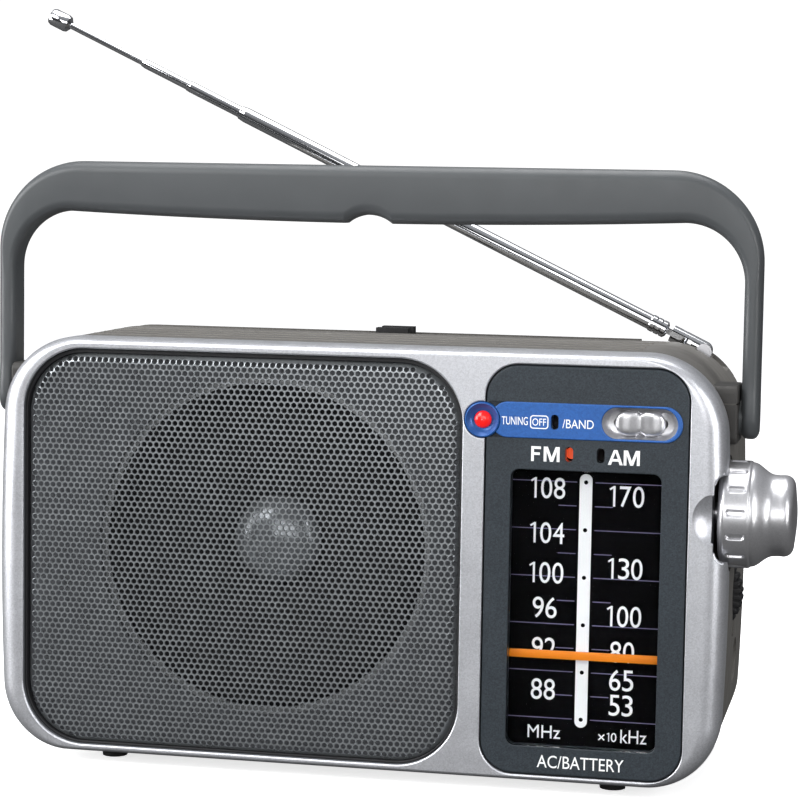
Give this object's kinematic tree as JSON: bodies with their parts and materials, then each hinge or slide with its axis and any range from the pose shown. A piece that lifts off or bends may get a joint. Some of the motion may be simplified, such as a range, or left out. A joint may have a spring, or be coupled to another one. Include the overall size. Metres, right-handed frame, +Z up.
{
  "type": "tabletop radio",
  "caption": "Portable two-band radio with round speaker behind a perforated grille, slide-rule dial, side tuning knob, folding carry handle and telescopic aerial.",
  "frame": {"origin": "centre of the cabinet's underside, 3.5 mm above the plane that the feet stand on", "axes": "+Z up, front faces -Y, +X to the right of someone facing the front"},
  "size_m": [0.2417, 0.0803, 0.2249],
  "materials": {
    "silver_shell": "silver paint with a fine metallic fleck over moulded plastic",
    "dark_shell": "fine-textured dark taupe plastic",
    "grille_mesh": "perforated steel sheet, dark grey, satin",
    "black_trim": "matt black",
    "slate_panel": "slate, satin, fine fleck",
    "clear_lens": "clear moulded lens",
    "dial_black": "printed black scale",
    "steel": "plated steel",
    "pointer_orange": "bright orange",
    "blue_strip": "satin blue",
    "lamp_red": "translucent red",
    "flag_red": "bright red-orange",
    "silver_knob": "satin silver",
    "drum_plastic": "natural plastic",
    "cord_fibre": "braided dial cord",
    "black_plastic": "black, lightly textured",
    "handle_slate": "slate grey, satin",
    "aerial_chrome": "bright chrome",
    "foot_rubber": "matt black rubber",
    "basket_steel": "zinc-plated pressed steel",
    "cone_paper": "pressed paper cone",
    "cap_grey": "coated dust cap",
    "magnet": "ferrite",
    "board": "phenolic board",
    "brass": "tinned brass",
    "core": "laminated core",
    "copper": "enamelled copper"
  },
  "bodies": {
    "cabinet": {"front_cabinet": "silver_shell", "rear_cabinet": "dark_shell", "speaker_grille": "grille_mesh", "grille_gasket": "black_trim", "dial_bezel": "slate_panel", "dial_window": "clear_lens", "dial_scale": "dial_black", "dial_frame": "steel", "pointer_rail": "steel", "band_strip": "blue_strip", "lamp_ring": "blue_strip", "lamp_lens": "lamp_red", "tuning_led": "lamp_red", "band_windows": "black_trim", "band_switch_body": "steel", "cord_pulleys": "drum_plastic", "dial_cord": "cord_fibre", "tuning_capacitor": "drum_plastic", "volume_control": "steel", "antenna_clip": "black_plastic", "antenna_pivot_screw": "steel", "feet": "foot_rubber", "battery_case": "black_plastic", "battery_springs": "steel", "battery_plates": "steel", "speaker_basket": "basket_steel", "speaker_cone": "cone_paper", "speaker_surround": "black_trim", "dust_cap": "cap_grey", "speaker_magnet": "magnet", "speaker_terminals": "brass", "speaker_screws": "steel", "main_board": "board", "board_components": "black_plastic", "ferrite_rod": "magnet", "ferrite_coil": "copper", "ferrite_holders": "drum_plastic", "power_transformer": "core", "ac_inlet": "black_plastic", "earphone_jack": "black_plastic", "cabinet_screws": "steel"},
    "handle": {"handle": "handle_slate", "handle_retainers": "steel"},
    "tuning": {"tuning_knob": "silver_knob", "tuning_shaft": "steel"},
    "drum": {"cord_drum": "drum_plastic"},
    "pointer": {"dial_pointer": "pointer_orange"},
    "volume": {"volume_wheel": "black_plastic"},
    "band_switch": {"band_switch_knob": "silver_knob", "band_flag": "flag_red"},
    "battery_door": {"battery_door": "dark_shell"},
    "aerial_base": {"antenna_base": "aerial_chrome", "antenna_elbow_pin": "steel"},
    "aerial_1": {"antenna_tube_1": "aerial_chrome"},
    "aerial_2": {"antenna_tube_2": "aerial_chrome"},
    "aerial_3": {"antenna_tube_3": "aerial_chrome"},
    "aerial_4": {"antenna_rod_4": "aerial_chrome", "antenna_tip": "aerial_chrome"}
  },
  "joints": [
    {"name": "handle_fold", "type": "hinge", "parent": "cabinet", "child": "handle", "pos_m": [0, -0.017, 0.104], "axis": [1, 0, 0], "range_deg": [-33, 90]},
    {"name": "tuning_turn", "type": "hinge", "parent": "cabinet", "child": "tuning", "pos_m": [0.1, -0.024, 0.0773], "axis": [1, 0, 0], "range_deg": [-584, 229]},
    {"name": "drum_turn", "type": "hinge", "parent": "cabinet", "child": "drum", "pos_m": [0.08, 0.006, 0.062], "axis": [1, 0, 0], "range_deg": [-130, 51.5]},
    {"name": "pointer_slide", "type": "slide", "parent": "cabinet", "child": "pointer", "axis": [0, 0, 1], "range_m": [-0.0203, 0.0513]},
    {"name": "volume_turn", "type": "hinge", "parent": "cabinet", "child": "volume", "pos_m": [0.0962, -0.0015, 0.051], "axis": [0, 1, 0], "range_deg": [-120, 180]},
    {"name": "band_slide", "type": "slide", "parent": "cabinet", "child": "band_switch", "axis": [1, 0, 0], "range_m": [-0.0032, 0.0032]},
    {"name": "battery_door_hinge", "type": "hinge", "parent": "cabinet", "child": "battery_door", "pos_m": [0, 0.0386, 0.0114], "axis": [1, 0, 0], "range_deg": [-100, 0]},
    {"name": "aerial_swivel", "type": "hinge", "parent": "cabinet", "child": "aerial_base", "pos_m": [0.0936, 0.029, 0.1196], "axis": [0, 1, 0], "range_deg": [-25.5, 154.5]},
    {"name": "aerial_elbow", "type": "hinge", "parent": "aerial_base", "child": "aerial_1", "pos_m": [0.0863, 0.029, 0.1231], "axis": [-0.4305, 0, -0.9026], "range_deg": [0, 90]},
    {"name": "aerial_slide_2", "type": "slide", "parent": "aerial_1", "child": "aerial_2", "axis": [-0.9026, 0, 0.4305], "range_m": [-0.0175, 0.103]},
    {"name": "aerial_slide_3", "type": "slide", "parent": "aerial_2", "child": "aerial_3", "axis": [-0.9026, 0, 0.4305], "range_m": [-0.0148, 0.102]},
    {"name": "aerial_slide_4", "type": "slide", "parent": "aerial_3", "child": "aerial_4", "axis": [-0.9026, 0, 0.4305], "range_m": [-0.0258, 0.086]}
  ],
  "couplings": [
    {"joint": "pointer_slide", "follows": "tuning_turn", "m_per_rad": -0.005},
    {"joint": "drum_turn", "follows": "tuning_turn", "ratio": 0.22124}
  ]
}
